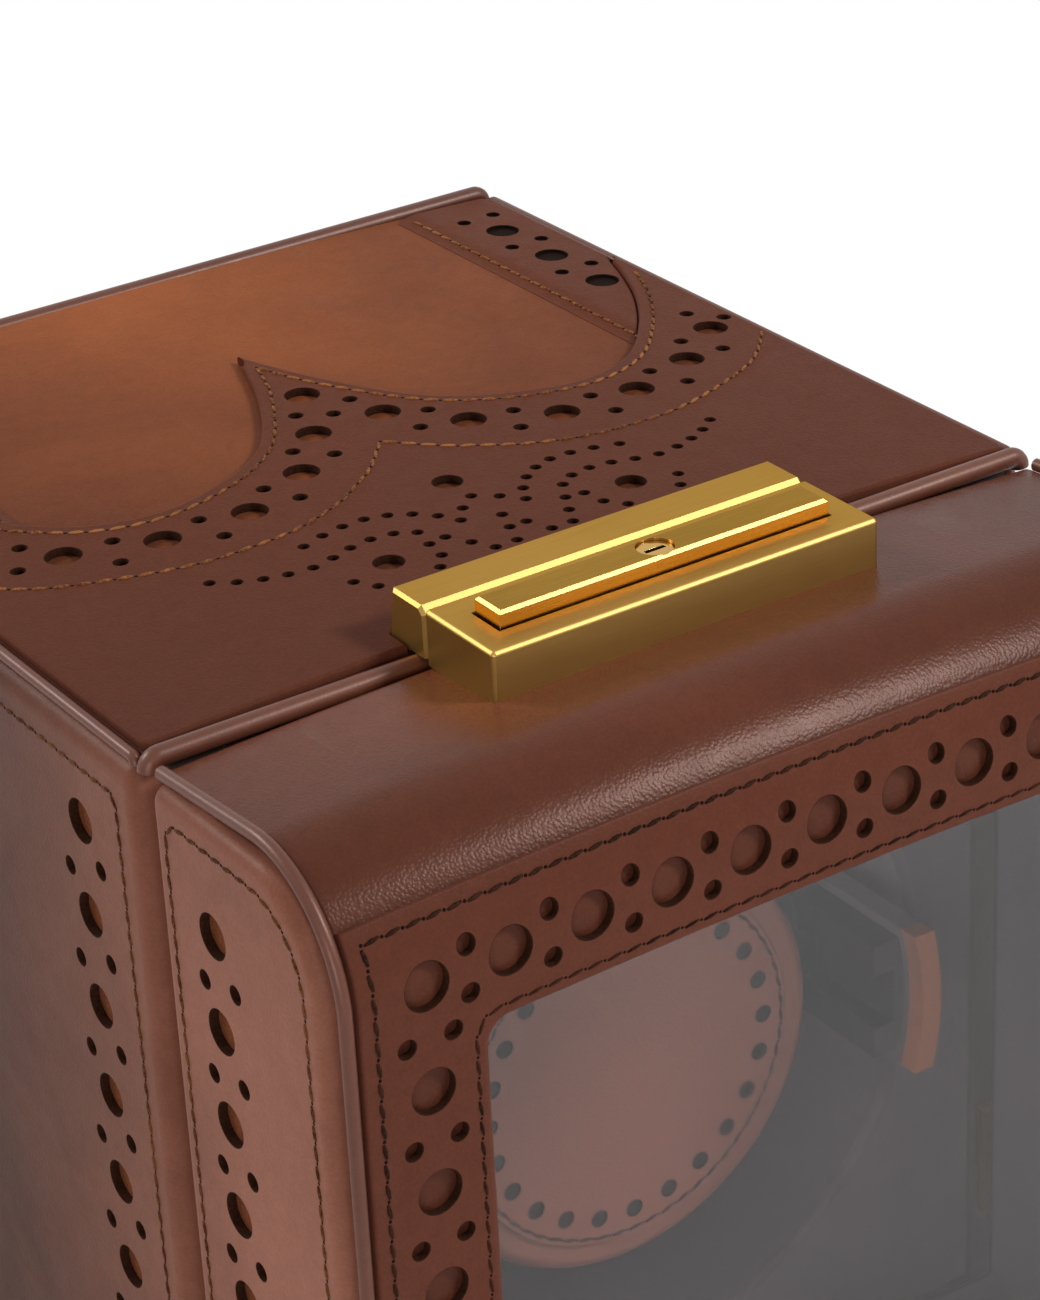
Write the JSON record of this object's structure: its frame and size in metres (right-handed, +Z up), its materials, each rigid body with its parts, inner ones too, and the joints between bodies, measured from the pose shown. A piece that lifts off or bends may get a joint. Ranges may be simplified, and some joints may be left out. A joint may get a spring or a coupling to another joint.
{
  "type": "watch winder",
  "caption": "Leather-clad watch winder with a glazed side-hinged cover, a brass push latch, punched brogue trim and a motor-driven cuff drum.",
  "frame": {"origin": "on the table, under the middle of the object with its cover closed", "axes": "+Z up, front (glazed cover) faces -Y, +X to the right seen from the front"},
  "size_m": [0.137, 0.175, 0.1533],
  "materials": {
    "case_wood": "satin",
    "brown_leather": "patinated, satin",
    "cover_leather": "patinated, satin",
    "top_leather": "patinated, satin",
    "piping_leather": "satin",
    "tan_leather": "satin",
    "cuff_leather": "satin",
    "lining_cloth": "matt",
    "latch_brass": "satin, polished edges",
    "window_glass": "clear",
    "steel": "plain",
    "sintered_bronze": "sintered",
    "gear_plastic": "moulded",
    "black_plastic": "fine texture",
    "board_green": "solder mask",
    "foot_rubber": "matt"
  },
  "bodies": {
    "case": {"carcass": "case_wood", "back_panel": "brown_leather", "bottom_panel": "lining_cloth", "top_panel": "top_leather", "wing_overlay": "brown_leather", "side_strips": "brown_leather", "side_panel_left": "brown_leather", "side_panel_right": "brown_leather", "piping_front": "piping_leather", "piping_back": "piping_leather", "piping_sides": "piping_leather", "feet": "foot_rubber", "fascia": "lining_cloth", "drum_well": "lining_cloth", "chassis_plate": "black_plastic", "plate_spacers": "steel", "drive_screws": "steel", "motor_plate": "steel", "front_bush": "sintered_bronze", "rear_bush": "sintered_bronze", "motor": "steel", "circuit_board": "board_green", "board_posts": "black_plastic", "control_panel": "black_plastic", "power_inlet": "black_plastic", "keeper": "latch_brass", "keeper_tongue": "steel", "keeper_screws": "steel", "hinge_leaves_case": "latch_brass", "hinge_pins": "steel"},
    "cover": {"cover_frame": "case_wood", "cover_wrap": "cover_leather", "cover_lining": "lining_cloth", "front_overlay": "cover_leather", "window_glass": "window_glass", "cover_panel_left": "cover_leather", "cover_panel_right": "cover_leather", "cover_piping": "piping_leather", "latch_block": "latch_brass", "latch_base": "latch_brass", "latch_screws": "steel", "latch_springs": "steel", "hinge_leaves_cover": "latch_brass"},
    "push_bar": {"push_bar": "latch_brass", "catch_frame": "steel"},
    "lock": {"lock_cylinder": "latch_brass"},
    "drum": {"drum": "lining_cloth", "ear_trims": "tan_leather", "drum_rails": "black_plastic", "drum_shaft": "steel", "drum_gear": "gear_plastic", "retaining_clip": "steel"},
    "motor_rotor": {"motor_pinion": "gear_plastic", "motor_shaft": "steel"},
    "cuff": {"cuff_face": "cuff_leather", "cuff_disc": "cuff_leather", "cuff_pillow": "cuff_leather", "cuff_end_caps": "black_plastic"},
    "mode_knob": {"mode_knob": "black_plastic"},
    "power_button": {"power_button": "black_plastic"}
  },
  "joints": [
    {"name": "cover_hinge", "type": "hinge", "parent": "case", "child": "cover", "pos_m": [0.067, -0.0454, 0.074], "axis": [0, 0, 1], "range_deg": [0, 110]},
    {"name": "push", "type": "slide", "parent": "cover", "child": "push_bar", "axis": [0, 0, -1], "range_m": [0, 0.0012], "stiffness_N_per_m": 500, "springref_m": -0.001, "deforming": ["latch_springs"]},
    {"name": "lock_turn", "type": "hinge", "parent": "push_bar", "child": "lock", "pos_m": [0, -0.05387, 0.15], "axis": [0, 0, 1], "range_deg": [0, 90]},
    {"name": "drum_spin", "type": "hinge", "parent": "case", "child": "drum", "pos_m": [0, 0, 0.0715], "axis": [0, 1, 0], "continuous": true},
    {"name": "motor_spin", "type": "hinge", "parent": "case", "child": "motor_rotor", "pos_m": [0, 0.04, 0.0415], "axis": [0, 1, 0], "continuous": true},
    {"name": "cuff_slide", "type": "slide", "parent": "drum", "child": "cuff", "axis": [0, -1, 0], "range_m": [0, 0.03]},
    {"name": "mode_turn", "type": "hinge", "parent": "case", "child": "mode_knob", "pos_m": [-0.02, 0.085, 0.04], "axis": [0, 1, 0], "range_deg": [0, 270]},
    {"name": "power_press", "type": "slide", "parent": "case", "child": "power_button", "axis": [0, -1, 0], "range_m": [0, 0.0015], "stiffness_N_per_m": 300, "springref_m": -0.001}
  ],
  "couplings": [
    {"joint": "motor_spin", "follows": "drum_spin", "ratio": -4}
  ]
}
